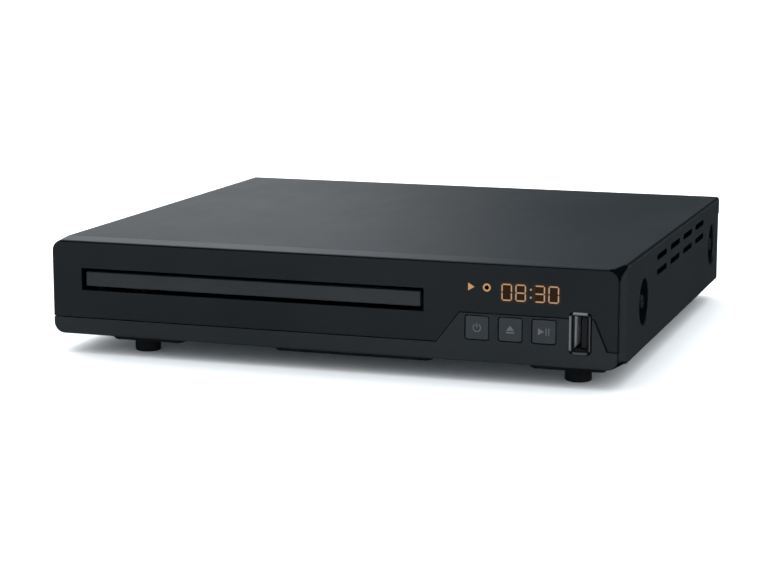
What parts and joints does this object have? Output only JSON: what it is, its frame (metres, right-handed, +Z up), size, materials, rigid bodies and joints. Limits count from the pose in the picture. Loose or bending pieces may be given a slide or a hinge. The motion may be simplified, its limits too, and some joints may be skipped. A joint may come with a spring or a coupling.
{
  "type": "disc player",
  "caption": "Compact disc player with a motorised sliding tray, square front keys, an upright stick socket, a segment display, a vented folded steel cover and low round feet.",
  "frame": {"origin": "on the floor, under the centre of the player's bounding box", "axes": "+X to the player's right as seen from its front, +Y to its rear, +Z up; the face looks towards -Y"},
  "size_m": [0.225, 0.215, 0.0446],
  "materials": {
    "aluminium": "milled",
    "bare_steel": "zinc plated",
    "bezel_plastic": "fine matt texture",
    "black_plastic": "matt",
    "board_brown": "paper laminate",
    "board_green": "solder mask",
    "button_plastic": "satin",
    "capacitor_sleeve": "sleeve",
    "cover_paint": "fine powder texture",
    "dark_gear": "moulded acetal",
    "display_glow": "lit segments",
    "door_plastic": "satin",
    "ivory_gear": "natural acetal",
    "jack_plastic": "matt",
    "lens_glass": "coated",
    "loader_plastic": "matt moulded",
    "magnet": "plain",
    "pan_paint": "fine powder texture",
    "panel_plastic": "smoked satin",
    "ribbon_white": "film",
    "rubber": "matt",
    "screw_steel": "black zinc",
    "socket_steel": "nickel plated",
    "transformer_tape": "tape",
    "tray_plastic": "matt moulded",
    "trim_gloss": "polished dark",
    "white_plastic": "natural",
    "wire_sleeve": "insulation"
  },
  "bodies": {
    "case": {"front_bezel": "bezel_plastic", "front_panel": "panel_plastic", "display_segments": "display_glow", "display_module": "white_plastic", "ir_receiver": "black_plastic", "front_board": "board_brown", "tact_switches": "black_plastic", "usb_trim": "trim_gloss", "usb_shell": "socket_steel", "usb_tongue": "black_plastic", "top_cover": "cover_paint", "cover_screws": "screw_steel", "base_pan": "pan_paint", "feet": "rubber", "rear_panel": "cover_paint", "loader_frame": "loader_plastic", "loading_motor": "bare_steel", "loading_belt": "rubber", "clamp_bridge": "bare_steel", "inner_screws": "bare_steel", "main_board": "board_green", "board_chips": "black_plastic", "board_connectors": "white_plastic", "heat_sink": "aluminium", "capacitors": "capacitor_sleeve", "power_board": "board_brown", "transformer": "transformer_tape", "power_harness": "wire_sleeve", "pickup_ribbon": "ribbon_white", "front_ribbon": "ribbon_white", "mains_inlet": "black_plastic", "inlet_pins": "socket_steel", "hdmi_socket": "socket_steel", "hdmi_tongue": "black_plastic", "jack_block": "jack_plastic", "jack_barrels": "socket_steel"},
    "tray": {"disc_tray": "tray_plastic", "tray_door": "door_plastic"},
    "drive": {"drive_gear": "dark_gear"},
    "pulley": {"pulley_gear": "dark_gear"},
    "motor_wheel": {"motor_pulley": "white_plastic"},
    "cam": {"cam_slider": "ivory_gear"},
    "lift": {"carriage": "bare_steel", "guide_rods": "socket_steel", "spindle_motor": "bare_steel", "feed_motor": "bare_steel"},
    "spindle": {"turntable": "black_plastic"},
    "sled": {"pickup_sled": "black_plastic"},
    "lens": {"lens_holder": "black_plastic", "pickup_lens": "lens_glass"},
    "feed_wheel": {"feed_gear": "ivory_gear"},
    "feed_drive": {"feed_pinion": "ivory_gear"},
    "clamp": {"clamp_puck": "black_plastic", "clamp_magnet": "magnet"},
    "power_key": {"power_button": "button_plastic", "power_plunger": "white_plastic"},
    "eject_key": {"eject_button": "button_plastic", "eject_plunger": "white_plastic"},
    "play_key": {"play_button": "button_plastic", "play_plunger": "white_plastic"}
  },
  "joints": [
    {"name": "tray_slide", "type": "slide", "parent": "case", "child": "tray", "axis": [0, -1, 0], "range_m": [0, 0.13]},
    {"name": "drive_gear_spin", "type": "hinge", "parent": "case", "child": "drive", "pos_m": [-0.08075, -0.07915, 0.0236], "axis": [0, 0, 1], "range_deg": [0, 1250]},
    {"name": "pulley_gear_spin", "type": "hinge", "parent": "case", "child": "pulley", "pos_m": [-0.06315, -0.07915, 0.0236], "axis": [0, 0, 1], "range_deg": [-3330, 0]},
    {"name": "motor_pulley_spin", "type": "hinge", "parent": "case", "child": "motor_wheel", "pos_m": [-0.02615, -0.07915, 0.0236], "axis": [0, 0, 1], "range_deg": [-9850, 0]},
    {"name": "carriage_tilt", "type": "hinge", "parent": "case", "child": "lift", "pos_m": [-0.03045, 0.04385, 0.0202], "axis": [1, 0, 0], "range_deg": [0, 2.95]},
    {"name": "cam_slide", "type": "slide", "parent": "case", "child": "cam", "axis": [1, 0, 0], "range_m": [0, 0.0141]},
    {"name": "turntable_spin", "type": "hinge", "parent": "lift", "child": "spindle", "pos_m": [-0.03045, -0.03815, 0.028], "axis": [0, 0, 1], "continuous": true},
    {"name": "sled_slide", "type": "slide", "parent": "lift", "child": "sled", "axis": [0, 1, 0], "range_m": [0, 0.034], "deforming": ["pickup_ribbon"]},
    {"name": "feed_gear_spin", "type": "hinge", "parent": "lift", "child": "feed_wheel", "pos_m": [0.00505, 0.01335, 0.0225], "axis": [0, 0, 1], "range_deg": [-545, 0]},
    {"name": "feed_pinion_spin", "type": "hinge", "parent": "lift", "child": "feed_drive", "pos_m": [0.00505, 0.00135, 0.0256], "axis": [0, 0, 1], "range_deg": [0, 1630]},
    {"name": "lens_focus", "type": "slide", "parent": "sled", "child": "lens", "axis": [0, 0, 1], "range_m": [-0.0003, 0.0003], "stiffness_N_per_m": 100},
    {"name": "clamp_spin", "type": "hinge", "parent": "case", "child": "clamp", "pos_m": [-0.03045, -0.03815, 0.035], "axis": [0, 0, 1], "continuous": true},
    {"name": "power_press", "type": "slide", "parent": "case", "child": "power_key", "axis": [0, 1, 0], "range_m": [0, 0.0007], "stiffness_N_per_m": 1200, "springref_m": -0.0003},
    {"name": "eject_press", "type": "slide", "parent": "case", "child": "eject_key", "axis": [0, 1, 0], "range_m": [0, 0.0007], "stiffness_N_per_m": 1200, "springref_m": -0.0003},
    {"name": "play_press", "type": "slide", "parent": "case", "child": "play_key", "axis": [0, 1, 0], "range_m": [0, 0.0007], "stiffness_N_per_m": 1200, "springref_m": -0.0003}
  ],
  "couplings": [
    {"joint": "drive_gear_spin", "follows": "tray_slide", "rad_per_m": 166.67},
    {"joint": "pulley_gear_spin", "follows": "tray_slide", "rad_per_m": -444.44},
    {"joint": "motor_pulley_spin", "follows": "tray_slide", "rad_per_m": -1319.7},
    {"joint": "cam_slide", "follows": "carriage_tilt", "m_per_rad": 0.2721},
    {"joint": "feed_gear_spin", "follows": "sled_slide", "rad_per_m": -277.78},
    {"joint": "feed_pinion_spin", "follows": "sled_slide", "rad_per_m": 833.33}
  ]
}
